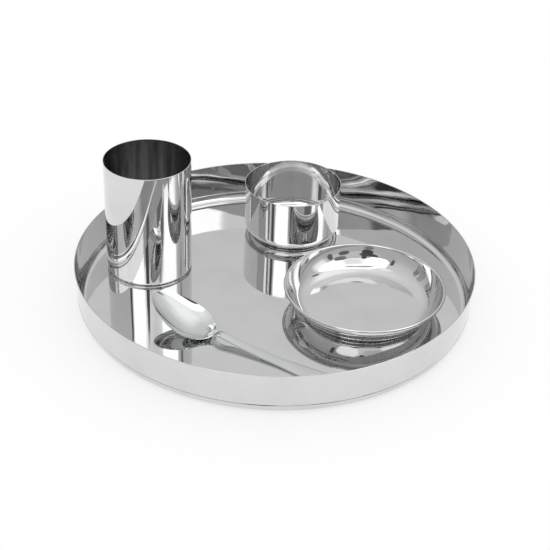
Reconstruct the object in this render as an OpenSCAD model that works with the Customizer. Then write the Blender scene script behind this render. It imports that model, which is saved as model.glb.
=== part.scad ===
// Thali set of pressed stainless steel: a round tray that carries a tumbler,
// a katori, a shallow side dish and a spoon, each standing loose on its floor.
// Millimetres. The origin is the middle of the tray's underside and +Z is up.

/* [Tray] */
// Outer radius of the tray at its rim
tray_rim_r = 160; // [150:1:200]
// Height of the tray
tray_h = 34.6; // [25:1:45]
// How far the wall leans out from its foot to the rim
tray_flare = 2; // [1:0.2:8]
// Outer radius of the corner between floor and wall
tray_corner_r = 6.2; // [3:0.2:8]
// Thickness of the tray's sheet
tray_sheet = 0.8; // [0.5:0.1:1.2]
// Height of the bead pressed round the foot of the wall
tray_bead_h = 2.2; // [1.5:0.1:4]
// Depth of that bead
tray_bead_depth = 0.5; // [0.1:0.05:0.6]

/* [Tumbler] */
// Outer radius of the tumbler at its rim
tumbler_rim_r = 35.4; // [28:0.1:40]
// Height of the tumbler
tumbler_h = 99.2; // [70:0.1:125]
// How much narrower the tumbler is at its foot
tumbler_taper = 0.3; // [0:0.1:3]
// Outer radius of the corner at the tumbler's foot
tumbler_corner_r = 3; // [1.2:0.1:5]
// Thickness of the tumbler's sheet
tumbler_sheet = 0.6; // [0.4:0.1:1]
// Width of the flat ring that the tumbler stands on
tumbler_foot_w = 1.4; // [0.8:0.1:4]
// How far the middle of the tumbler's base is pressed up
tumbler_recess = 1.6; // [0.6:0.1:3]
// Gap on the floor between the tumbler and the tray's corner
tumbler_gap = 6; // [2:0.1:20]
// Direction of the tumbler from the middle of the tray, in degrees
tumbler_turn = 162.1; // [150:0.1:170]

/* [Katori] */
// Outer radius of the katori at its rim
katori_rim_r = 41.5; // [34:0.1:48]
// Height of the katori
katori_h = 46; // [32:0.1:55]
// How much narrower the katori's wall is at its foot
katori_taper = 0.4; // [0:0.1:3]
// Outer radius of the rounded corner between wall and base
katori_corner_r = 9.2; // [6:0.1:14]
// Thickness of the katori's sheet
katori_sheet = 0.6; // [0.4:0.1:1]
// Width of the flat ring that the katori stands on
katori_foot_w = 3.2; // [1:0.1:6]
// How far the middle of the katori's base is pressed up
katori_recess = 0.9; // [0.4:0.1:2]
// Gap between the katori and the tray's corner
katori_gap = 8.5; // [2:0.1:25]
// Direction of the katori from the middle of the tray, in degrees
katori_turn = 82.7; // [70:0.1:95]

/* [Side dish] */
// Outer radius of the dish at its edge
dish_rim_r = 64.6; // [50:0.1:72]
// Height of the dish
dish_h = 20; // [14:0.1:26]
// Outer radius of the corner where the side leaves the base
dish_corner_r = 14; // [8:0.1:20]
// Slope at which that corner runs into the shallow arc of the side, in degrees
dish_corner_turn = 50; // [30:1:60]
// Slope of the side just under the edge, in degrees
dish_side_turn = 73; // [64:1:85]
// Radius of the rolled edge, on its underside
dish_roll_r = 0.6; // [0.3:0.1:1.6]
// How far past level the edge is rolled over, in degrees
dish_roll_turn = 100; // [60:5:140]
// Thickness of the dish's sheet
dish_sheet = 0.6; // [0.4:0.1:1]
// Gap between the dish and the tray's corner
dish_gap = 13.1; // [2:0.1:25]
// Direction of the dish from the middle of the tray, in degrees
dish_turn = -13.1; // [-30:0.1:0]

/* [Spoon] */
// Whole length of the spoon, seen from above
spoon_l = 165; // [140:1:180]
// Length of the bowl
spoon_bowl_l = 56; // [45:0.5:66]
// Width of the bowl
spoon_bowl_w = 39; // [28:0.2:44]
// Depth of the bowl
spoon_bowl_depth = 7.2; // [4:0.1:10]
// Thickness of the bowl
spoon_bowl_sheet = 0.9; // [0.6:0.1:1.4]
// Width of the neck
spoon_neck_w = 5.9; // [4:0.1:9]
// Width of the handle where it starts to widen
spoon_handle_w = 10; // [7:0.1:12]
// Width of the handle near its end
spoon_end_w = 14.6; // [12:0.1:20]
// Thickness of the handle
spoon_handle_sheet = 1.6; // [1:0.1:2.5]
// Crown of the handle's upper face
spoon_handle_crown = 0.7; // [0.2:0.1:1.5]
// Length of the handle's rounded end
spoon_end_round = 7; // [3:0.5:12]
// Half the length of the bend between bowl and handle
spoon_bend_l = 8; // [4:0.5:12]
// Height of the tip's edge above the tray floor
spoon_tip_rise = 20; // [8:0.1:26]
// How far the bowl's edge sags below a straight line halfway along
spoon_bowl_sag = 2; // [0:0.1:3]
// Height that the bowl's edge would reach at the neck
spoon_shoulder_rise = 0.1; // [0:0.1:3]
// Height of the handle's edge beside the neck
spoon_neck_rise = 6.6; // [4:0.1:10]
// Gap on the floor between the handle's end and the tray's corner
spoon_gap = 17.9; // [6:0.1:25]
// Direction of the handle's end from the middle of the tray, in degrees
spoon_turn = -68; // [-75:0.1:-60]
// Direction in which the spoon points from bowl to handle, in degrees
spoon_heading = -30.1; // [-35:0.1:-25]

/* [Fit] */
// Clearance under the spoon, whose faces are faceted
spoon_clear = 0.1; // [0.05:0.01:0.3]

/* [Hidden] */

// Facets of the turned pieces, steps along a rounded corner, and steps up the tray's bead
ROUND = 160;
CORNER_STEPS = 8;
BEAD_STEPS = 4;
// Turn of half a wave, which shapes the tray's bead
HALF_WAVE = 180;
// Steps along the bowl, along the handle and across the spoon
BOWL_STEPS = 26;
HANDLE_STEPS = 36;
ACROSS_STEPS = 12;

// Where along its length the bowl is widest
bowl_widest_share = 0.5;
// How full the bowl's outline is in front of and behind its widest place
bowl_front_power = 1.6;
bowl_back_power = 1.4;
// How square the bowl is across, and how its depth follows its width
bowl_across_power = 2.4;
bowl_depth_power = 1.1;
// How the handle comes down from the neck, and where it widens
handle_fall_power = 3.3;
handle_widen_shares = [0.5, 0.92];
// Width of the underside against the top, which bevels the spoon's edge
underside_share = 0.96;
// First slice of the bowl, which closes its tip
tip_share = 0.004;

// Level of the tray's floor, and radius at which its flat part ends
floor_z = tray_sheet;
tray_lean = atan2(tray_flare, tray_h - tray_corner_r);
tray_foot_r = tray_rim_r - tray_flare;
floor_r = tray_foot_r - tray_corner_r / cos(tray_lean);

// Part of the neck's width that the bowl already has at its widest place
bowl_neck_w = spoon_neck_w * bowl_widest_share * bowl_widest_share;

// Places of the loose pieces on the floor
tumbler_at = polar(floor_r - tumbler_gap - tumbler_rim_r, tumbler_turn);
katori_at = polar(floor_r - katori_gap - katori_rim_r, katori_turn);
dish_at = polar(floor_r - dish_gap - dish_rim_r, dish_turn);
spoon_end_at = polar(floor_r - spoon_gap, spoon_turn);

// Point at a distance and direction from the middle
function polar(r, turn) = [r * cos(turn), r * sin(turn)];
// Value a share of the way from a to b
function mix(a, b, share) = a + (b - a) * share;
// Share that starts and ends gently, held between 0 and 1
function ease(share) =
    let (s = min(max(share, 0), 1))
    s * s * (3 - 2 * s);
// Points of an arc round a centre
function arc(centre, r, from, to) =
    [for (i = [0 : CORNER_STEPS]) centre + polar(r, mix(from, to, i / CORNER_STEPS))];

// Unit normal on the left of the way from a to b
function left_of(a, b) = [a[1] - b[1], b[0] - a[0]] / norm(b - a);
// Place one sheet inside a point of an outline, mitred between its neighbours
function inside(outline, i, sheet) =
    let (last = len(outline) - 1)
    let (before = left_of(outline[max(i - 1, 0)], outline[max(i, 1)]))
    let (after = left_of(outline[min(i, last - 1)], outline[min(i + 1, last)]))
    outline[i] + (before + after) * sheet / (1 + before * after);
// Half-round edge that closes the sheet at the end of an outline
function rim_round(outline, sheet) =
    let (last = len(outline) - 1)
    let (n = left_of(outline[last - 1], outline[last]))
    let (up = [n[1], -n[0]])
    [for (i = [1 : CORNER_STEPS - 1])
        let (a = 180 * i / CORNER_STEPS)
        outline[last] + (n * (1 - cos(a)) + up * sin(a)) * sheet / 2];
// Section of one pressed sheet whose outer face follows an outline from the axis to the rim
function pressed(outline, sheet) = concat(
    outline,
    rim_round(outline, sheet),
    [for (i = [len(outline) - 1 : -1 : 0]) inside(outline, i, sheet)]
);

// Outline of a straight-sided cup: recessed base, foot ring, rounded corner, wall
function cup_outline(rim_r, h, taper, corner_r, foot_w, recess, sheet) =
    let (lean = atan2(taper, h - corner_r))
    let (centre = [rim_r - taper - corner_r / cos(lean), corner_r])
    let (ring_in = centre[0] - foot_w)
    concat(
        [[0, recess], [ring_in - recess, recess], [ring_in, 0]],
        arc(centre, corner_r, -90, -lean),
        [[rim_r - sheet / 2 * sin(lean), h - sheet / 2]]
    );

// Outline of the tray: flat floor, rounded corner, bead at the wall's foot, flared wall
function tray_outline() =
    let (centre = [floor_r, tray_corner_r])
    let (foot = centre + polar(tray_corner_r, -tray_lean))
    let (up = polar(1, 90 - tray_lean))
    let (out = polar(1, -tray_lean))
    concat(
        [[0, 0]],
        arc(centre, tray_corner_r, -90, -tray_lean),
        [for (i = [1 : BEAD_STEPS])
            let (share = i / BEAD_STEPS)
            foot + up * tray_bead_h * share + out * tray_bead_depth * sin(HALF_WAVE * share)],
        [[tray_rim_r - tray_sheet / 2 * sin(tray_lean), tray_h - tray_sheet / 2]]
    );

// Outline of the dish: flat base, corner arc, long shallow arc of the side, rolled edge
function dish_outline() =
    let (edge_r = dish_roll_r + dish_sheet)
    let (roll_at = [dish_rim_r - edge_r, dish_h - edge_r])
    let (side_to = roll_at + polar(dish_roll_r, 90 + dish_side_turn))
    let (corner_z = dish_corner_r * (1 - cos(dish_corner_turn)))
    let (side_r = (side_to[1] - corner_z) / (cos(dish_corner_turn) - cos(dish_side_turn)))
    let (side_at = side_to + polar(side_r, 90 + dish_side_turn))
    let (side_from = side_at + polar(side_r, dish_corner_turn - 90))
    let (corner_at = [side_from[0] - dish_corner_r * sin(dish_corner_turn), dish_corner_r])
    concat(
        [[0, 0]],
        arc(corner_at, dish_corner_r, -90, dish_corner_turn - 90),
        [for (i = [1 : CORNER_STEPS - 1])
            side_at + polar(side_r, mix(dish_corner_turn, dish_side_turn, i / CORNER_STEPS) - 90)],
        arc(roll_at, dish_roll_r, 90 + dish_side_turn, 90 - dish_roll_turn)
    );

// Solid turned from the section of one pressed sheet
module turned(outline, sheet) {
    rotate_extrude($fn = ROUND)
        polygon(pressed(outline, sheet));
}

module thali_tray() {
    color([0.80, 0.81, 0.82])
        turned(tray_outline(), tray_sheet);
}

module tumbler() {
    color([0.74, 0.75, 0.76])
        translate([tumbler_at[0], tumbler_at[1], floor_z])
            turned(cup_outline(tumbler_rim_r, tumbler_h, tumbler_taper, tumbler_corner_r,
                               tumbler_foot_w, tumbler_recess, tumbler_sheet), tumbler_sheet);
}

module katori() {
    color([0.77, 0.78, 0.79])
        translate([katori_at[0], katori_at[1], floor_z])
            turned(cup_outline(katori_rim_r, katori_h, katori_taper, katori_corner_r,
                               katori_foot_w, katori_recess, katori_sheet), katori_sheet);
}

module side_dish() {
    color([0.83, 0.84, 0.85])
        translate([dish_at[0], dish_at[1], floor_z])
            turned(dish_outline(), dish_sheet);
}

// Half the bowl's width at a share of its length, as a share of its widest
function bowl_outline(share) = share < bowl_widest_share
    ? sqrt(1 - pow(1 - share / bowl_widest_share, bowl_front_power))
    : cos(90 * pow((share - bowl_widest_share) / (1 - bowl_widest_share), bowl_back_power));

// Half the spoon's width at a distance from the tip
function spoon_half_w(x) = x < spoon_bowl_l
    ? let (share = x / spoon_bowl_l)
      (bowl_outline(share) * (spoon_bowl_w - bowl_neck_w) + share * share * spoon_neck_w) / 2
    : let (share = (x - spoon_bowl_l) / (spoon_l - spoon_bowl_l))
      let (widen = (share - handle_widen_shares[0]) / (handle_widen_shares[1] - handle_widen_shares[0]))
      let (strip = mix(spoon_neck_w, spoon_handle_w, sqrt(share)))
      let (into_end = max(0, (x - spoon_l + spoon_end_round) / spoon_end_round))
      mix(strip, spoon_end_w, ease(widen)) / 2 * sqrt(max(1 - into_end * into_end, 0));

// Height of the spoon's edge above its resting level at a distance from the tip
function spoon_edge_z(x) =
    let (along = (x - spoon_bowl_l) / (spoon_l - spoon_bowl_l))
    let (share = x / spoon_bowl_l)
    let (sag = 4 * spoon_bowl_sag * share * (1 - share))
    let (bowl_line = mix(spoon_tip_rise, spoon_shoulder_rise, share) - sag)
    let (handle_line = spoon_neck_rise * pow(min(1 - along, 1), handle_fall_power))
    mix(bowl_line, handle_line, spoon_bend(x));

// Share of the way through the bend between bowl and handle
function spoon_bend(x) = ease((x - spoon_bowl_l + spoon_bend_l) / (2 * spoon_bend_l));

// Height of the crown at a distance from the tip
function spoon_crown(x) =
    let (share = min(x / spoon_bowl_l, 1))
    spoon_bowl_depth * pow(max(bowl_outline(share), 0), bowl_depth_power)
        + spoon_handle_crown * spoon_bend(x);

// Thickness at a distance from the tip
function spoon_sheet(x) = mix(spoon_bowl_sheet, spoon_handle_sheet, spoon_bend(x));

// Distances from the tip at which the spoon is sliced, closest at its two ends
spoon_slices = concat(
    [for (i = [0 : BOWL_STEPS - 1])
        spoon_bowl_l * max(1 - cos(90 * i / BOWL_STEPS), tip_share)],
    [for (i = [0 : HANDLE_STEPS - 1])
        mix(spoon_bowl_l, spoon_l, mix(i / HANDLE_STEPS, sin(90 * i / HANDLE_STEPS), i / HANDLE_STEPS))],
    [spoon_l - spoon_end_round * tip_share]
);

// Closed slice of the spoon: its top from edge to edge, then its underside back
function spoon_slice(x) =
    let (w = spoon_half_w(x))
    let (z = spoon_edge_z(x) + spoon_sheet(x))
    let (crown = spoon_crown(x))
    let (top = [for (i = [0 : ACROSS_STEPS])
        let (k = 2 * i / ACROSS_STEPS - 1)
        [x, w * k, z + crown * (1 - pow(abs(k), bowl_across_power))]])
    let (under = [for (i = [ACROSS_STEPS : -1 : 0])
        [x, top[i][1] * underside_share, top[i][2] - spoon_sheet(x)]])
    concat(top, under);

// Triangles between two neighbouring slices
function slice_faces(slice, count) = [
    for (j = [0 : count - 1])
        let (a = slice * count + j)
        let (b = slice * count + (j + 1) % count)
        each [[a, b, b + count], [a, b + count, a + count]]
];

module spoon() {
    count = 2 * (ACROSS_STEPS + 1);
    last = len(spoon_slices) - 1;
    color([0.86, 0.88, 0.87])
        translate([spoon_end_at[0], spoon_end_at[1], floor_z + spoon_clear])
            rotate([0, 0, spoon_heading])
                translate([-spoon_l, 0, 0])
                    polyhedron(
                        points = [for (x = spoon_slices) each spoon_slice(x)],
                        faces = concat(
                            [[for (j = [count - 1 : -1 : 0]) j]],
                            [for (i = [0 : last - 1]) each slice_faces(i, count)],
                            [[for (j = [0 : count - 1]) last * count + j]]
                        )
                    );
}

thali_tray();
tumbler();
katori();
side_dish();
spoon();
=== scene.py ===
"""Thali set of polished stainless steel: a round tray that carries a tumbler, a katori, a side dish and a spoon.

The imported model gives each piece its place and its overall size. Every piece is rebuilt here as one fine
closed sheet of steel, in metres, with +Z up and the origin in the middle of the tray's underside.
"""

import logging
import math
from dataclasses import dataclass
from enum import Enum

import bpy
import numpy as np
from mathutils import Matrix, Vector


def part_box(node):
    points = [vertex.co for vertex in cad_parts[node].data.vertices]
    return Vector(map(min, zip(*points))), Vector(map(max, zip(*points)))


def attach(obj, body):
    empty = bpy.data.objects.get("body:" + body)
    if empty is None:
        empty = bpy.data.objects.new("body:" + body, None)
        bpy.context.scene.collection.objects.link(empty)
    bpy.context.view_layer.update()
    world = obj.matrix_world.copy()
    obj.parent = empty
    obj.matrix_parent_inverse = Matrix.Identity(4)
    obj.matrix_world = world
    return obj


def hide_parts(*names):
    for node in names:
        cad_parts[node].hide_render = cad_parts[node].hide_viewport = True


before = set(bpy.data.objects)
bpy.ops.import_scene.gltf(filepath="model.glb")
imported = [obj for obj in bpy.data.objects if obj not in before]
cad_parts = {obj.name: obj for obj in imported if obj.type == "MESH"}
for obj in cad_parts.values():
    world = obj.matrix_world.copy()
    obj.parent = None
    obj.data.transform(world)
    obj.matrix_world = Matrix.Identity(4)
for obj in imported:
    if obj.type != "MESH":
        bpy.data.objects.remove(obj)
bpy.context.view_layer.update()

LOG = logging.getLogger("thali")
MM = 0.001
GRAIN = "grain"

Points = np.ndarray


def polar(radius: float, degrees: float) -> Points:
    """Point at a distance and direction from the origin of a plane."""
    angle = math.radians(degrees)
    return np.array([radius * math.cos(angle), radius * math.sin(angle)])


def mix(a: float, b: float, share: Points | float) -> Points | float:
    """Value a share of the way from a to b."""
    return a + (b - a) * share


def ease(share: Points) -> Points:
    """Share that starts and ends gently, held between 0 and 1: s squared times (3 minus 2s)."""
    s = np.clip(share, 0, 1)
    return s * s * (3 - 2 * s)


def arc(centre: Points, radius: float, start: float, end: float, steps: int) -> Points:
    """Points of an arc: the centre plus the radius turned from start to end.

    Args:
        centre: Middle of the arc.
        radius: Radius of the arc.
        start: Direction of its first point, in degrees.
        end: Direction of its last point, in degrees.
        steps: Number of even steps.

    Returns:
        Array of steps + 1 points.
    """
    turn = np.radians(np.linspace(start, end, steps + 1))[:, None]
    return np.asarray(centre) + radius * np.hstack([np.cos(turn), np.sin(turn)])


def straight(start: Points, end: Points, steps: int) -> Points:
    """Points between two ends, closest together at the ends: the share is half of 1 minus a cosine.

    Args:
        start: First end, which is left out of the result.
        end: Last end, which is left out too.
        steps: Number of steps.

    Returns:
        Array of steps - 1 points.
    """
    share = (0.5 - 0.5 * np.cos(np.linspace(0, np.pi, steps + 1)[1:-1]))[:, None]
    return mix(np.asarray(start, float), np.asarray(end, float), share)


def sheet_section(outline: Points, sheet: float, rim_steps: int = 10) -> Points:
    """Section of one pressed sheet whose outer face follows an outline from the axis to the rim.

    The inner face is the outline moved one sheet to its left, mitred between neighbours, and the rim is the half
    circle between the two faces.

    Args:
        outline: Points of the outer face, from the axis to the rim.
        sheet: Thickness of the sheet.
        rim_steps: Steps round the rim.

    Returns:
        Points of the closed section, from the axis round the rim and back to the axis.
    """
    way = np.diff(outline, axis=0)
    way /= np.linalg.norm(way, axis=1, keepdims=True)
    left = np.column_stack([-way[:, 1], way[:, 0]])
    before = np.vstack([left[:1], left])
    after = np.vstack([left, left[-1:]])
    inner = outline + (before + after) * sheet / (1 + np.sum(before * after, axis=1, keepdims=True))
    turn = np.linspace(0, np.pi, rim_steps + 1)[1:-1, None]
    rim = outline[-1] + (left[-1] * (1 - np.cos(turn)) + way[-1] * np.sin(turn)) * sheet / 2
    return np.vstack([outline, rim, inner[::-1]])


def new_piece(name: str, points: Points, faces: list[Points]) -> bpy.types.Object:
    """Smooth mesh object made from whole arrays.

    Args:
        name: Name of the object and its mesh.
        points: One row of x, y and z for each vertex.
        faces: Arrays of vertex numbers, one row for each face.

    Returns:
        The linked object, at the origin.
    """
    mesh = bpy.data.meshes.new(name)
    mesh.from_pydata(points.tolist(), [], [row for block in faces for row in block.tolist()])
    mesh.polygons.foreach_set("use_smooth", np.ones(len(mesh.polygons), dtype=bool))
    mesh.validate()
    mesh.update()
    piece = bpy.data.objects.new(name, mesh)
    bpy.context.scene.collection.objects.link(piece)
    return piece


def turned(name: str, section: Points, axis: Points, base: float, turns: int) -> bpy.types.Object:
    """Surface turned round a vertical axis: radius times the cosine and sine of the turn, at the section's height.

    Its grain map holds the way along the section and the share of a full turn.

    Args:
        name: Name of the piece.
        section: Radius and height of each point, whose first and last lie on the axis.
        axis: Place of the axis in plan.
        base: Height added to the section.
        turns: Number of steps round the axis.

    Returns:
        The closed piece, with one vertex at each pole.
    """
    ring, rows = section[1:-1], len(section) - 2
    turn = np.linspace(0, 2 * np.pi, turns, endpoint=False)
    x = axis[0] + ring[:, :1] * np.cos(turn)
    y = axis[1] + ring[:, :1] * np.sin(turn)
    z = np.repeat(base + ring[:, 1:], turns, axis=1)
    poles = [[axis[0], axis[1], base + section[end, 1]] for end in (0, -1)]
    points = np.vstack([np.stack([x, y, z], axis=-1).reshape(-1, 3), poles])
    # one band of quads between each two rows, then a fan of triangles round each pole
    here = np.arange(turns)
    there = np.roll(here, -1)
    start = turns * np.arange(rows - 1)[:, None]
    quads = np.stack([start + here, start + there, start + there + turns, start + here + turns], axis=-1)
    first, last = rows * turns, rows * turns + 1
    low = np.column_stack([np.full(turns, first), there, here])
    high = np.column_stack([here, there, np.full(turns, last - (rows - 1) * turns)]) + (rows - 1) * turns
    piece = new_piece(name, points, [quads.reshape(-1, 4), low, high])
    # grain map, corner by corner in the order of the faces
    way = np.concatenate([[0], np.cumsum(np.linalg.norm(np.diff(section, axis=0), axis=1))])
    row, column = np.broadcast_arrays(np.arange(rows - 1)[:, None], here)
    around = np.stack([column, column + 1, column + 1, column], axis=-1).reshape(-1) / turns
    along = np.stack([row + 1, row + 1, row + 2, row + 2], axis=-1).reshape(-1)
    fan = np.column_stack([here + 0.5, here + 1, here, here, here + 1, here + 0.5]) / turns
    around = np.concatenate([around, fan[:, :3].reshape(-1), fan[:, 3:].reshape(-1)])
    ends = [np.tile([0, 1, 1], turns), np.tile([rows, rows, rows + 1], turns)]
    along = way[np.concatenate([along, *ends])]
    piece.data.uv_layers.new(name=GRAIN).data.foreach_set("uv", np.column_stack([along, around]).reshape(-1))
    return piece


class Nodes:
    """Short way to fill a node tree: each call adds a node, sets its values and links what feeds it."""

    def __init__(self, tree: bpy.types.NodeTree) -> None:
        """Empties the tree."""
        self.tree = tree
        tree.nodes.clear()

    def add(self, kind: str, inputs: dict | None = None, **settings: object) -> bpy.types.Node:
        """Adds a node.

        Args:
            kind: Node type.
            inputs: Value or socket for each input, by name or number.
            settings: Properties of the node.

        Returns:
            The new node.
        """
        node = self.tree.nodes.new(kind)
        for name, value in settings.items():
            setattr(node, name, value)
        for key, value in (inputs or {}).items():
            if isinstance(value, bpy.types.NodeSocket):
                self.tree.links.new(value, node.inputs[key])
            else:
                node.inputs[key].default_value = value
        return node

    def maths(self, operation: str, *values: object) -> bpy.types.NodeSocket:
        """Result of one Math node on up to three values or sockets."""
        return self.add("ShaderNodeMath", dict(enumerate(values)), operation=operation).outputs[0]

    def vector(self, operation: str, *values: object) -> bpy.types.NodeSocket:
        """Result of one Vector Math node on up to three values or sockets."""
        return self.add("ShaderNodeVectorMath", dict(enumerate(values)), operation=operation).outputs[0]

    def ramp(self, value: object, stops: tuple[tuple[float, float], ...]) -> bpy.types.NodeSocket:
        """Level that follows stops, straight between them.

        Args:
            value: Value or socket that runs through the stops.
            stops: Value and level of each stop, in rising order of value.

        Returns:
            Socket of the level.
        """
        low, high = stops[0][0], stops[-1][0]
        ramp = self.add("ShaderNodeValToRGB", {0: self.between(value, low, high, 0, 1)})
        elements = ramp.color_ramp.elements
        middle = [elements.new((at - low) / (high - low)) for at, _ in stops[1:-1]]
        for element, (_, level) in zip([elements[0], *middle, elements[-1]], stops):
            element.color = (level, level, level, 1)
        return ramp.outputs[0]

    def noise(self, place: bpy.types.NodeSocket, scale: float, detail: float) -> bpy.types.NodeSocket:
        """Value of a noise texture at a place."""
        inputs = {"Vector": place, "Scale": scale, "Detail": detail}
        return self.add("ShaderNodeTexNoise", inputs).outputs[0]

    def bump(self, height: object, depth: float, normal: object) -> bpy.types.NodeSocket:
        """Normal tilted by a pattern of a given depth, on top of another normal."""
        inputs = {"Height": height, "Distance": depth, "Normal": normal}
        return self.add("ShaderNodeBump", inputs).outputs[0]

    def between(
        self, value: object, low: float, high: float, to_low: float, to_high: float,
    ) -> bpy.types.NodeSocket:
        """Value moved from one range to another and held there."""
        inputs = {0: value, 1: low, 2: high, 3: to_low, 4: to_high}
        return self.add("ShaderNodeMapRange", inputs).outputs[0]


@dataclass(frozen=True)
class Steel:
    """Polished stainless steel with lathe lines, faint smear marks and the slow waves of pressed sheet; where the
    smeared colour is near black, the marks are painted shade.

    Attributes:
        name: Name of the finish.
        colour: Base colour of the cleanest places.
        smear_and_shade_colour: Base colour where it is smeared; near black, as on the tumbler's lining, it is
            painted shade.
        roughness: Roughness of the cleanest places.
        smear: Roughness added by the smear marks.
        smear_size: Size of the smear marks, in metres.
        upright: How much the smear marks are drawn out upwards, from 0 to 1.
        lines: Depth of the lathe lines, in metres.
        line_pitch: Distance between lathe lines, in metres.
        waves: Depth of the sheet's waves, in metres.
        wave_length: Length of the waves, in metres.
        wave_squash: How many times shorter the waves are in height.
        grain: How much the polish draws mirror images out along the section, from 0 to 1.
        flutes: Depth of the faint upright ripples that drawing leaves in a wall, in metres.
        flute_width: Width of those ripples, in metres.
        upright_squash: Share left of the height coordinate where a pattern is drawn out upwards.
        smear_range: Values of the smear marks' noise that count as clean and as fully smeared.
    """

    name: str
    colour: tuple[float, float, float] = (0.70, 0.70, 0.70)
    smear_and_shade_colour: tuple[float, float, float] = (0.65, 0.65, 0.65)
    roughness: float = 0.02
    smear: float = 0.04
    smear_size: float = 35 * MM
    upright: float = 0.0
    lines: float = 0.0003 * MM
    line_pitch: float = 0.35 * MM
    waves: float = 0.02 * MM
    wave_length: float = 30 * MM
    wave_squash: float = 1.0
    grain: float = 0.0
    flutes: float = 0.0
    flute_width: float = 6 * MM
    upright_squash: float = 0.06
    smear_range: tuple[float, float] = (0.45, 0.75)

    def rings(self, nodes: Nodes, centred: bpy.types.NodeSocket) -> bpy.types.NodeSocket:
        """Noise that changes with radius and height alone, so that it runs round the piece as lathe lines do.

        Args:
            nodes: Tree to fill.
            centred: Coordinates from the piece's axis.

        Returns:
            Socket of the noise.
        """
        flat = nodes.vector("MULTIPLY", centred, (1, 1, 0))
        radius = nodes.add("ShaderNodeVectorMath", {0: flat}, operation="LENGTH").outputs["Value"]
        height = nodes.add("ShaderNodeSeparateXYZ", {0: centred}).outputs[2]
        across = nodes.add("ShaderNodeCombineXYZ", {0: radius, 1: height}).outputs[0]
        return nodes.noise(across, 1 / self.line_pitch, 2)

    def material(self, axis: Points) -> bpy.types.Material:
        """Node material of this finish for a piece turned round an axis.

        Args:
            axis: Place of the piece's axis in plan.

        Returns:
            The material.
        """
        made = bpy.data.materials.new(self.name)
        made.use_nodes = True
        nodes = Nodes(made.node_tree)
        place = nodes.add("ShaderNodeTexCoord").outputs["Object"]
        to_axis = (-axis[0], -axis[1], 0)
        centred = nodes.add("ShaderNodeMapping", {"Vector": place, "Location": to_axis}).outputs[0]
        rings = self.rings(nodes, centred)
        drawn_out = nodes.vector("MULTIPLY", centred, (1, 1, mix(1, self.upright_squash, self.upright)))
        # smear marks shift the base colour to the smeared colour; on the tumbler's lining that colour is near black,
        # so there they are painted shade
        smear_and_shade_mask = nodes.between(nodes.noise(drawn_out, 1 / self.smear_size, 5), *self.smear_range, 0, 1)
        colour = nodes.add("ShaderNodeMix", {0: smear_and_shade_mask}, data_type="RGBA")
        colour.inputs["A"].default_value, colour.inputs["B"].default_value = (*self.colour, 1), (*self.smear_and_shade_colour, 1)
        rough = nodes.maths("MULTIPLY_ADD", smear_and_shade_mask, self.smear, self.roughness)
        rough = nodes.maths("MULTIPLY_ADD", rings, self.roughness, rough)
        squashed = nodes.vector("MULTIPLY", centred, (1, 1, self.wave_squash))
        slow = nodes.noise(squashed, 1 / self.wave_length, 1)
        waved = nodes.add("ShaderNodeBump", {"Height": slow, "Distance": self.waves}).outputs[0]
        if self.flutes:
            upright = nodes.vector("MULTIPLY", centred, (1, 1, self.upright_squash))
            ripples = nodes.noise(upright, 1 / self.flute_width, 1)
            waved = nodes.bump(ripples, self.flutes, waved)
        lined = nodes.bump(rings, self.lines, waved)
        shader = nodes.add("ShaderNodeBsdfPrincipled", {
            "Metallic": 1.0, "Anisotropic": self.grain, "Base Color": colour.outputs["Result"],
            "Roughness": rough, "Normal": lined,
        })
        if self.grain:
            drawn = nodes.add("ShaderNodeTangent", direction_type="UV_MAP", uv_map=GRAIN).outputs[0]
            nodes.tree.links.new(drawn, shader.inputs["Tangent"])
        nodes.add("ShaderNodeOutputMaterial", {"Surface": shader.outputs[0]})
        return made


class Place(Enum):
    """Place of each piece.

    Attributes:
        node: CAD node that the piece stands for.
        body: Body that carries it.
        steel: Slot of its finish; not used.
    """

    TRAY = ("thali_tray", "tray", "tray_steel")
    TUMBLER = ("tumbler", "cup", "tumbler_steel")
    KATORI = ("katori", "bowl", "katori_steel")
    DISH = ("side_dish", "dish", "dish_steel")
    SPOON = ("spoon", "cutlery", "spoon_steel")

    def __init__(self, node: str, body: str, steel: str) -> None:
        """Keeps the three names."""
        self.node, self.body, self.steel = node, body, steel

    @property
    def box(self) -> tuple[Points, Points]:
        """Lowest and highest corner of the CAD node."""
        low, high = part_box(self.node)
        return np.array(low), np.array(high)

    def seat(self, piece: bpy.types.Object) -> None:
        """Puts a finished piece on its body, in place of its CAD node.

        Args:
            piece: The finished piece.
        """
        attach(piece, self.body)
        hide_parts(self.node)
        LOG.info("%s: %d faces", piece.name, len(piece.data.polygons))


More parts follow.
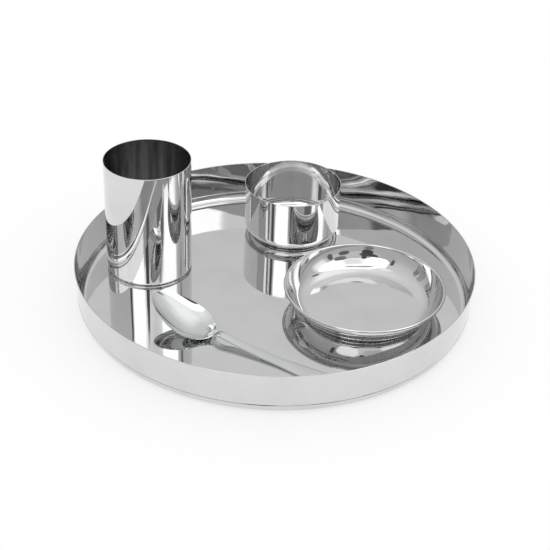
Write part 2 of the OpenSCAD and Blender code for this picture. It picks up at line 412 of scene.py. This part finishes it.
@dataclass
class TurnedPiece:
    """Piece turned round a vertical axis, whose place, radius and height come from its CAD node.

    Attributes:
        place: Where the piece goes.
        finish: Its steel.
        sheet: Thickness of its sheet.
        turns: Steps round its axis.
        lining: Steel of its inner face, where that differs.
    """

    place: Place
    finish: Steel
    sheet: float
    turns: int = 320
    lining: Steel | None = None

    def __post_init__(self) -> None:
        """Reads the axis, the base, the rim's radius and the height from the box of the CAD node."""
        low, high = self.place.box
        self.axis = (low[:2] + high[:2]) / 2
        self.base = low[2]
        self.rim_r = (high[0] - low[0]) / 2
        self.height = high[2] - low[2]

    def outline(self) -> Points:
        """Outer face from the axis to the rim, as radius and height."""
        raise NotImplementedError

    def build(self) -> bpy.types.Object:
        """Makes the piece, gives it its steel and seats it.

        Where the piece has a lining, the rows of faces from the rim's inner edge back to the axis get it.

        Returns:
            The seated piece.
        """
        outline = self.outline()
        section = sheet_section(outline, self.sheet)
        piece = turned(self.place.node + "_shell", section, self.axis, self.base, self.turns)
        piece.data.materials.append(self.finish.material(self.axis))
        if self.lining:
            piece.data.materials.append(self.lining.material(self.axis))
            rows = np.repeat(np.arange(len(section) - 3), self.turns)
            rows = np.concatenate([rows, np.zeros(self.turns, int), np.full(self.turns, len(section))])
            inner = (rows >= len(section) - len(outline)).astype(np.int32)
            piece.data.polygons.foreach_set("material_index", inner)
        self.place.seat(piece)
        return piece


@dataclass
class Tray(TurnedPiece):
    """Round tray: flat floor, rounded corner, bead at the wall's foot, flared wall.

    Attributes:
        flare: How much wider the rim is than the wall's foot, in radius.
        corner_r: Radius of the corner between floor and wall.
        bead_h: Height of the bead.
        bead_depth: How far the bead stands out.
        floor_steps: Steps across the floor.
        corner_steps: Steps round the corner.
        bead_steps: Steps up the bead.
        wall_steps: Steps up the wall.
    """

    flare: float = 2 * MM
    corner_r: float = 6.2 * MM
    bead_h: float = 2.2 * MM
    bead_depth: float = 0.5 * MM
    floor_steps: int = 40
    corner_steps: int = 20
    bead_steps: int = 12
    wall_steps: int = 24

    def outline(self) -> Points:
        """Outer face: floor, corner arc, half a sine wave outwards for the bead, and the leaning wall.

        Returns:
            Radius and height of each point, from the axis to the rim.
        """
        lean = math.degrees(math.atan2(self.flare, self.height - self.corner_r))
        floor_r = self.rim_r - self.flare - self.corner_r / math.cos(math.radians(lean))
        centre = np.array([floor_r, self.corner_r])
        foot = centre + polar(self.corner_r, -lean)
        up, out = polar(1, 90 - lean), polar(1, -lean)
        share = np.linspace(0, 1, self.bead_steps + 1)[1:, None]
        bead = foot + up * self.bead_h * share + out * self.bead_depth * np.sin(np.pi * share)
        rim = np.array([self.rim_r, self.height]) - self.sheet / 2 * np.array([math.sin(math.radians(lean)), 1])
        corner = arc(centre, self.corner_r, -90, -lean, self.corner_steps)
        across_floor = straight((0, 0), corner[0], self.floor_steps)
        up_wall = straight(bead[-1], rim, self.wall_steps)
        return np.vstack([[(0, 0)], across_floor, corner, bead, up_wall, [rim]])


@dataclass
class Cup(TurnedPiece):
    """Straight-sided cup: recessed base, foot ring, rounded corner, wall.

    Attributes:
        taper: How much wider the rim is than the wall's foot, in radius.
        corner_r: Radius of the corner between foot ring and wall.
        foot_w: Width of the foot ring.
        recess: How far the base lies over the foot ring.
        base_steps: Steps across the base.
        foot_steps: Steps down to the foot ring, and again across it.
        corner_steps: Steps round the corner.
        wall_steps: Steps up the wall.
    """

    taper: float = 0.3 * MM
    corner_r: float = 3 * MM
    foot_w: float = 1.4 * MM
    recess: float = 1.6 * MM
    base_steps: int = 16
    foot_steps: int = 6
    corner_steps: int = 18
    wall_steps: int = 30

    def outline(self) -> Points:
        """Outer face: raised base, 45 degree step down to the foot ring, corner arc and the leaning wall.

        Returns:
            Radius and height of each point, from the axis to the rim.
        """
        lean = math.atan2(self.taper, self.height - self.corner_r)
        centre = np.array([self.rim_r - self.taper - self.corner_r / math.cos(lean), self.corner_r])
        ring_in = centre[0] - self.foot_w
        step, ring = (ring_in - self.recess, self.recess), (ring_in, 0)
        rim = np.array([self.rim_r, self.height]) - self.sheet / 2 * np.array([math.sin(lean), 1])
        corner = arc(centre, self.corner_r, -90, -math.degrees(lean), self.corner_steps)
        middle = (0, self.recess)
        return np.vstack([
            [middle], straight(middle, step, self.base_steps),
            [step], straight(step, ring, self.foot_steps),
            [ring], straight(ring, corner[0], self.foot_steps),
            corner, straight(corner[-1], rim, self.wall_steps), [rim],
        ])


@dataclass
class SideDish(TurnedPiece):
    """Shallow dish: flat base, corner arc, long shallow arc of the side, rolled edge.

    Attributes:
        corner_r: Radius of the arc between base and side.
        corner_turn: Slope at which that arc ends and the side starts, in degrees.
        side_turn: Slope at which the side ends, in degrees.
        roll_r: Radius of the rolled edge on its outer face.
        roll_turn: How far past its top the edge is rolled, in degrees.
        base_steps: Steps across the base.
        corner_steps: Steps round the corner.
        side_steps: Steps up the side.
        roll_steps: Steps round the rolled edge.
    """

    corner_r: float = 14 * MM
    corner_turn: float = 50
    side_turn: float = 73
    roll_r: float = 0.6 * MM
    roll_turn: float = 100
    base_steps: int = 30
    corner_steps: int = 36
    side_steps: int = 40
    roll_steps: int = 24

    def outline(self) -> Points:
        """Outer face: base, corner arc, the side's arc between two slopes, and the arc of the rolled edge.

        The side's radius is its rise over the difference of the cosines of its two slopes.

        Returns:
            Radius and height of each point, from the axis to the end of the rolled edge.
        """
        low, high = math.radians(self.corner_turn), math.radians(self.side_turn)
        edge_r = self.roll_r + self.sheet
        roll_at = np.array([self.rim_r - edge_r, self.height - edge_r])
        side_to = roll_at + polar(self.roll_r, 90 + self.side_turn)
        corner_z = self.corner_r * (1 - math.cos(low))
        side_r = (side_to[1] - corner_z) / (math.cos(low) - math.cos(high))
        side_at = side_to + polar(side_r, 90 + self.side_turn)
        side = arc(side_at, side_r, self.corner_turn - 90, self.side_turn - 90, self.side_steps)
        corner_at = (side[0, 0] - self.corner_r * math.sin(low), self.corner_r)
        corner = arc(corner_at, self.corner_r, -90, self.corner_turn - 90, self.corner_steps)
        edge = arc(roll_at, self.roll_r, 90 + self.side_turn, 90 - self.roll_turn, self.roll_steps)
        base = straight((0, 0), corner[0], self.base_steps)
        return np.vstack([[(0, 0)], base, corner, side[1:-1], edge])


@dataclass
class Spoon:
    """Table spoon lying hollow side up: a bowl, a bent neck and a handle that widens to a round end.

    Its length runs from the tip of the bowl at 0 to the end of the handle. The bowl rests on its underside.

    Attributes:
        place: Where the spoon goes.
        finish: Its steel.
        length: Length along the middle line, in plan.
        bowl_l: Length of the bowl.
        bowl_w: Greatest width of the bowl.
        bowl_depth: Depth of the bowl under its edge.
        bowl_sag: How far the bowl's edge sags between tip and shoulder.
        bowl_sheet: Thickness of the bowl.
        neck_w: Width of the neck.
        handle_w: Width of the handle before it widens.
        end_w: Width of the handle near its end.
        handle_sheet: Thickness of the handle.
        handle_crown: How far the middle of the handle stands over its edges.
        end_round: Length of the rounded end.
        bend_l: Half the length of the bend between bowl and handle.
        tip_rise: Height of the edge at the tip.
        shoulder_rise: Height of the edge where the bowl ends.
        neck_rise: Height of the neck over the end of the handle.
        heading: Direction from tip to end, in degrees from +X.
        widest_share: Share of the bowl's length where it is widest.
        front_power: Roundness of the bowl's front.
        back_power: How late the bowl narrows behind.
        across_power: Flatness of the bowl's middle, across.
        depth_power: How the depth follows the width.
        fall_power: How soon the handle comes down.
        widen_shares: Shares of the handle between which it widens.
        underside_share: Width of the underside as a share of the top's.
        tip_share: How far the first and last slice stay off the very end, as a share.
        bowl_steps: Slices of the bowl.
        handle_steps: Slices of the handle.
        across_steps: Steps across a slice.
        edge_steps: Steps round each edge of a slice.
    """

    place: Place
    finish: Steel
    length: float = 165 * MM
    bowl_l: float = 56 * MM
    bowl_w: float = 39 * MM
    bowl_depth: float = 5.4 * MM
    bowl_sag: float = 1.5 * MM
    bowl_sheet: float = 0.9 * MM
    neck_w: float = 5.9 * MM
    handle_w: float = 10 * MM
    end_w: float = 14.6 * MM
    handle_sheet: float = 1.6 * MM
    handle_crown: float = 0.35 * MM
    end_round: float = 7 * MM
    bend_l: float = 8 * MM
    tip_rise: float = 21 * MM
    shoulder_rise: float = 0.6 * MM
    neck_rise: float = 6.6 * MM
    heading: float = -30.1
    widest_share: float = 0.5
    front_power: float = 1.6
    back_power: float = 1.4
    across_power: float = 2.4
    depth_power: float = 1.6
    fall_power: float = 3.3
    widen_shares: tuple[float, float] = (0.5, 0.92)
    underside_share: float = 0.96
    tip_share: float = 0.0004
    bowl_steps: int = 90
    handle_steps: int = 140
    across_steps: int = 48
    edge_steps: int = 6

    def bowl_outline(self, share: Points) -> Points:
        """Half the bowl's width as a share of its widest: a superellipse in front, a drawn-out cosine behind.

        Args:
            share: Place along the bowl, from 0 at the tip to 1 at the neck.

        Returns:
            Share of the greatest width at each place.
        """
        ahead = np.clip(1 - share / self.widest_share, 0, 1)
        behind = np.clip((share - self.widest_share) / (1 - self.widest_share), 0, 1)
        front = np.sqrt(1 - ahead ** self.front_power)
        back = np.cos(np.pi / 2 * behind ** self.back_power)
        return np.where(share < self.widest_share, front, back)

    def bend(self, x: Points) -> Points:
        """Share of the way through the bend between bowl and handle."""
        return ease((x - self.bowl_l + self.bend_l) / (2 * self.bend_l))

    def half_w(self, x: Points) -> Points:
        """Half the spoon's width: the bowl's outline, then a strip that widens and ends in a half ellipse.

        Args:
            x: Distance from the tip.

        Returns:
            Half the width at each place.
        """
        share = np.clip(x / self.bowl_l, 0, 1)
        neck_w = self.neck_w * self.widest_share ** 2
        bowl = (self.bowl_outline(share) * (self.bowl_w - neck_w) + share * share * self.neck_w) / 2
        along = np.clip((x - self.bowl_l) / (self.length - self.bowl_l), 0, 1)
        low, high = self.widen_shares
        strip = mix(self.neck_w, self.handle_w, np.sqrt(along))
        into_end = np.maximum(0, (x - self.length + self.end_round) / self.end_round)
        handle = mix(strip, self.end_w, ease((along - low) / (high - low))) / 2
        return np.where(x < self.bowl_l, bowl, handle * np.sqrt(np.maximum(1 - into_end ** 2, 0)))

    def edge_z(self, x: Points) -> Points:
        """Height of the spoon's edge: a sagging line along the bowl, bent into the handle's falling curve.

        Args:
            x: Distance from the tip.

        Returns:
            Height of the underside's edge at each place.
        """
        along = np.clip((x - self.bowl_l) / (self.length - self.bowl_l), -1, 1)
        share = x / self.bowl_l
        sag = 4 * self.bowl_sag * share * (1 - share)
        bowl_line = mix(self.tip_rise, self.shoulder_rise, share) - sag
        handle_line = self.neck_rise * np.minimum(1 - along, 1) ** self.fall_power
        return mix(bowl_line, handle_line, self.bend(x))

    def surface(self) -> Points:
        """Grid of points, one closed slice after another from the tip to the end.

        Across a slice the top sinks in the bowl, and rises on the handle, by the middle's height over the edge times
        1 minus the power of its distance from the middle. The underside lies one sheet lower and a little narrower,
        and half an ellipse rounds each edge.

        Returns:
            Array of slices by points by 3.
        """
        turn = np.linspace(0, np.pi / 2, self.bowl_steps + 1)[:-1]
        bowl_x = self.bowl_l * np.maximum(1 - np.cos(turn), self.tip_share)
        share = np.linspace(0, 1, self.handle_steps + 1)[:-1]
        handle_x = mix(self.bowl_l, self.length, mix(share, np.sin(np.pi / 2 * share), share))
        x = np.concatenate([bowl_x, handle_x, [self.length - self.end_round * self.tip_share]])[:, None]
        sheet = mix(self.bowl_sheet, self.handle_sheet, self.bend(x))
        hollow = self.bowl_depth * np.maximum(self.bowl_outline(x / self.bowl_l), 0) ** self.depth_power
        crown = self.handle_crown * self.bend(x) - hollow
        half_w, edge = self.half_w(x), self.edge_z(x)
        k = np.sin(np.linspace(-np.pi / 2, np.pi / 2, self.across_steps + 1))[None, :]
        swell = crown * (1 - np.abs(k) ** self.across_power)
        round_off = np.linspace(0, np.pi, self.edge_steps + 1)[None, 1:-1]
        out = 0.5 * (1 - self.underside_share) * (1 - np.cos(round_off))
        side_y = half_w * (1 - out)
        side_z = edge + sheet * (1 + np.cos(round_off)) / 2
        top_y, top_z = half_w * k, edge + sheet + swell
        under_y, under_z = half_w * self.underside_share * k[:, ::-1], edge + swell[:, ::-1]
        y = np.hstack([top_y, side_y, under_y, -side_y[:, ::-1]])
        z = np.hstack([top_z, side_z, under_z, side_z[:, ::-1]])
        return np.stack([np.broadcast_to(x, y.shape), y, z], axis=-1)

    def build(self) -> bpy.types.Object:
        """Makes the spoon, turns it to its heading, lays it in the box of its CAD node and seats it.

        Returns:
            The seated spoon.
        """
        grid = self.surface()
        slices, count = grid.shape[:2]
        turn = math.radians(self.heading)
        across = np.array([[math.cos(turn), math.sin(turn)], [-math.sin(turn), math.cos(turn)]])
        points = grid.reshape(-1, 3).copy()
        points[:, :2] = points[:, :2] @ across
        low, high = self.place.box
        points[:, :2] += (low + high)[:2] / 2 - (points.min(axis=0) + points.max(axis=0))[:2] / 2
        points[:, 2] += low[2] - points[:, 2].min()
        here = np.arange(count)
        there = np.roll(here, -1)
        start = count * np.arange(slices - 1)[:, None]
        quads = np.stack([start + here, start + here + count, start + there + count, start + there], axis=-1)
        ends = [here[None, :], here[None, ::-1] + (slices - 1) * count]
        piece = new_piece(self.place.node + "_shell", points, [quads.reshape(-1, 4), *ends])
        piece.data.materials.append(self.finish.material((low + high) / 2))
        self.place.seat(piece)
        return piece


@dataclass(frozen=True)
class PaleFloor:
    """Matt pale floor that keeps the shadow, with some glow to camera and mirror rays.

    Attributes:
        name: Name of the finish.
        level: Grey level of its base colour.
        glow: Light that it adds.
    """

    name: str = "pale_floor"
    level: float = 0.7
    glow: float = 0.5

    def material(self) -> bpy.types.Material:
        """Node material of the floor.

        Returns:
            The material.
        """
        made = bpy.data.materials.new(self.name)
        made.use_nodes = True
        nodes = Nodes(made.node_tree)
        matt = nodes.add("ShaderNodeBsdfDiffuse", {"Color": (*(self.level,) * 3, 1)})
        rays = nodes.add("ShaderNodeLightPath").outputs
        seen = nodes.maths("ADD", rays["Is Camera Ray"], rays["Is Glossy Ray"])
        glow = nodes.add("ShaderNodeEmission", {"Strength": nodes.maths("MULTIPLY", seen, self.glow)})
        both = nodes.add("ShaderNodeAddShader", {0: matt.outputs[0], 1: glow.outputs[0]})
        nodes.add("ShaderNodeOutputMaterial", {"Surface": both.outputs[0]})
        return made


@dataclass(frozen=True)
class Zone:
    """Patch of the surroundings with rounded corners and a soft edge.

    Attributes:
        azimuth: Direction of its middle, in degrees from +Y towards +X.
        elevation: Height of its middle above the horizon, in degrees.
        wide: Half its width, in degrees of azimuth.
        high: Half its height, in degrees.
        soft: Width of its soft edge, all inside, as a share of its half sizes.
        level: Brightness, where 1 is white.
        power: Roundness: 2 for an ellipse, more for a box with rounded corners.
    """

    azimuth: float
    elevation: float
    wide: float
    high: float
    soft: float
    level: float
    power: float = 4

    def over(self, nodes: Nodes, azimuth: object, elevation: object, level: object) -> bpy.types.NodeSocket:
        """Level of the surroundings with this zone laid over what is there.

        The distance from the middle is the root of the sum of the powers of its two shares of the half sizes.

        Args:
            nodes: Tree to fill.
            azimuth: Direction that is looked up, in degrees from +Y towards +X.
            elevation: Its height above the horizon, in degrees.
            level: Level of what lies under this zone.

        Returns:
            Socket of the new level.
        """
        turn = nodes.maths("WRAP", nodes.maths("SUBTRACT", azimuth, self.azimuth), 180, -180)
        aside = nodes.maths("DIVIDE", turn, self.wide)
        across = nodes.maths("POWER", nodes.maths("ABSOLUTE", aside), self.power)
        rise = nodes.maths("DIVIDE", nodes.maths("SUBTRACT", elevation, self.elevation), self.high)
        up = nodes.maths("POWER", nodes.maths("ABSOLUTE", rise), self.power)
        far = nodes.maths("POWER", nodes.maths("ADD", across, up), 1 / self.power)
        inputs = {0: far, 1: 1, 2: 1 - self.soft, 3: 0, 4: 1}
        share = nodes.add("ShaderNodeMapRange", inputs, interpolation_type="SMOOTHSTEP").outputs[0]
        return nodes.add("ShaderNodeMix", {0: share, 2: level, 3: self.level}, data_type="FLOAT").outputs[0]


@dataclass
class Studio:
    """Camera, pale floor and soft white surroundings.

    Attributes:
        lens: Focal length on a sensor as wide as sensor.
        sensor: Width of the sensor, in millimetres.
        eye: Place of the camera.
        pitch: How far the camera looks down, in radians.
        yaw: How far it looks towards +X, in radians.
        roll: How far it is turned about its line of sight, in radians.
        clip: Nearest and farthest distance that the camera sees.
        room: Elevation in degrees and level of the room's stops, from the horizon up.
        warp: How far the surroundings' shapes are drawn out of true, as a share of the distance.
        warp_scale: How closely those distortions follow each other.
        matt_level: Level that matt surfaces get from every side.
        bounces: How often a ray is followed from steel to steel.
        floor_half: Half the floor's side.
        floor_finish: Finish of the floor.
        zones: Lit and dark patches, each laid over the ones before it.
    """

    lens: float = 84.40
    sensor: float = 36.0
    eye: tuple[float, float, float] = (3.83 * MM, -878.92 * MM, 581.85 * MM)
    pitch: float = 0.5717
    yaw: float = -0.0039
    roll: float = 0.0356
    clip: tuple[float, float] = (0.01, 100)
    room: tuple[tuple[float, float], ...] = (
        (10, 0.52), (20, 0.6), (27, 0.7), (40, 0.79), (60, 0.83), (68, 0.92), (80, 1), (90, 1.15),
    )
    warp: float = 0.08
    warp_scale: float = 3.5
    matt_level: float = 0.72
    bounces: int = 16
    floor_half: float = 6.0
    floor_finish: PaleFloor = PaleFloor()
    zones: tuple[Zone, ...] = (
        # pale parts of the room at the right and the left, with a dark upright between
        Zone(60, 62, 60, 24, 0.7, 1.22),
        Zone(79, 40, 7, 10, 0.5, 0.25, 2),
        Zone(-128, 62, 18, 14, 0.8, 1.2),
        # pale ceiling over the camera
        Zone(157, 60, 64, 26, 0.12, 1.48, 6),
        # bright panel with a thin dark edge, a little dimmer in the middle
        Zone(168, 30, 52, 39.5, 0.02, 0.08, 2),
        Zone(168, 30, 47, 34, 0.02, 1.48, 2),
        Zone(160, 40, 24, 10, 0.6, 1.1),
        # grey ground in front, lighter farther up and at the side
        Zone(160, 16, 76, 17.5, 0.08, 0.55, 6),
        Zone(163, 24, 50, 9, 0.4, 0.7),
        Zone(106, 27, 19, 15, 0.7, 1.2),
        # softboxes to the right and the left of the camera
        Zone(119, 43, 27, 16.5, 0.2, 2.1),
        Zone(205, 43, 19, 15.5, 0.15, 2.1),
        # dark things that stand in front: group at the right, group at the camera, upright at the left
        Zone(142, 28.5, 12, 5, 0.3, 0.22, 2.5),
        Zone(150, 18, 10, 5.5, 0.3, 0.15, 2.5),
        Zone(128, 19, 5, 8, 0.3, 0.15, 2.5),
        Zone(187, 25, 17, 4.5, 0.25, 0.1, 2.5),
        Zone(185, 18.5, 10, 6.5, 0.25, 0.08, 2.5),
        Zone(180, 30, 5, 6.5, 0.3, 0.1, 2.5),
        Zone(186, 9, 9, 4, 0.4, 0.22, 2.5),
        Zone(227, 30, 3.5, 8, 0.3, 0.12, 2.5),
    )

    def camera(self) -> None:
        """Makes the camera: its forward axis from yaw and pitch, then right and up turned by the roll."""
        forward = np.array([
            math.sin(self.yaw) * math.cos(self.pitch),
            math.cos(self.yaw) * math.cos(self.pitch),
            -math.sin(self.pitch),
        ])
        level = np.array([math.cos(self.yaw), -math.sin(self.yaw), 0])
        above = np.cross(level, forward)
        right = math.cos(self.roll) * level + math.sin(self.roll) * above
        up = math.cos(self.roll) * above - math.sin(self.roll) * level
        data = bpy.data.cameras.new("camera")
        data.lens, data.sensor_width = self.lens, self.sensor
        data.clip_start, data.clip_end = self.clip
        made = bpy.data.objects.new("camera", data)
        turn = Matrix((right, up, -forward)).transposed()
        made.matrix_world = Matrix.Translation(self.eye) @ turn.to_4x4()
        bpy.context.scene.collection.objects.link(made)
        bpy.context.scene.camera = made

    def world(self) -> None:
        """Grey room with soft lit zones for the steel to mirror; white to the camera and plain to the floor."""
        world = bpy.data.worlds.new("surroundings")
        bpy.context.scene.world = world
        world.use_nodes = True
        nodes = Nodes(world.node_tree)
        way = nodes.add("ShaderNodeTexCoord").outputs["Generated"]
        inputs = {"Vector": way, "Scale": self.warp_scale, "Detail": 2}
        drift = nodes.add("ShaderNodeTexNoise", inputs).outputs["Color"]
        drift = nodes.vector("SUBTRACT", drift, (0.5,) * 3)
        way = nodes.vector("MULTIPLY_ADD", drift, (self.warp,) * 3, way)
        x, y, z = nodes.add("ShaderNodeSeparateXYZ", {0: nodes.vector("NORMALIZE", way)}).outputs
        azimuth = nodes.maths("DEGREES", nodes.maths("ARCTAN2", x, y))
        elevation = nodes.maths("DEGREES", nodes.maths("ARCSINE", z))
        level = nodes.ramp(elevation, self.room)
        for zone in self.zones:
            level = zone.over(nodes, azimuth, elevation, level)
        rays = nodes.add("ShaderNodeLightPath").outputs
        mirrored = nodes.maths("MULTIPLY", level, rays["Is Glossy Ray"])
        seen = nodes.maths("MAXIMUM", mirrored, rays["Is Camera Ray"])
        matt = nodes.maths("MULTIPLY", rays["Is Diffuse Ray"], self.matt_level)
        strength = nodes.maths("MAXIMUM", seen, matt)
        light = nodes.add("ShaderNodeBackground", {"Color": (1, 1, 1, 1), "Strength": strength})
        nodes.add("ShaderNodeOutputWorld", {"Surface": light.outputs[0]})

    def floor(self) -> None:
        """Makes the floor, a plain square."""
        half = self.floor_half
        corners = [(-half, -half, 0), (half, -half, 0), (half, half, 0), (-half, half, 0)]
        mesh = bpy.data.meshes.new("floor")
        mesh.from_pydata(corners, [], [(0, 1, 2, 3)])
        piece = bpy.data.objects.new("floor", mesh)
        bpy.context.scene.collection.objects.link(piece)
        mesh.materials.append(self.floor_finish.material())

    def build(self) -> None:
        """Makes the whole studio."""
        bpy.context.scene.view_settings.view_transform = "Standard"
        self.camera()
        self.world()
        self.floor()
        bpy.context.scene.cycles.max_bounces = self.bounces
        bpy.context.scene.cycles.glossy_bounces = self.bounces


def main() -> None:
    """Builds the pieces in order, then the studio."""
    logging.basicConfig(level=logging.INFO, format="%(message)s")
    Tray(
        Place.TRAY, Steel("tray_steel", waves=0.14 * MM, wave_length=50 * MM, wave_squash=4),
        sheet=0.8 * MM, turns=480,
    ).build()
    Cup(
        Place.TUMBLER, Steel("tumbler_steel", flutes=0.03 * MM), sheet=0.6 * MM,
        # inner face: a near-black smeared colour, so its upright streaks are painted shade inside the tumbler
        lining=Steel(
            "tumbler_lining", colour=(0.72, 0.72, 0.72), smear_and_shade_colour=(0.06, 0.06, 0.06),
            roughness=0.12, smear=0.05, smear_size=7 * MM, upright=1, grain=0.6,
        ),
    ).build()
    Cup(
        Place.KATORI, Steel("katori_steel", flutes=0.025 * MM), sheet=0.6 * MM,
        lining=Steel("katori_lining", roughness=0.03, smear=0.04, grain=0.5),
        taper=0.4 * MM, corner_r=9.2 * MM, foot_w=3.2 * MM, recess=0.9 * MM,
    ).build()
    SideDish(Place.DISH, Steel("dish_steel"), sheet=0.6 * MM).build()
    Spoon(
        Place.SPOON, Steel("spoon_steel", colour=(0.69, 0.715, 0.70), smear_and_shade_colour=(0.64, 0.66, 0.65)),
    ).build()
    Studio().build()


if __name__ == "__main__":
    main()
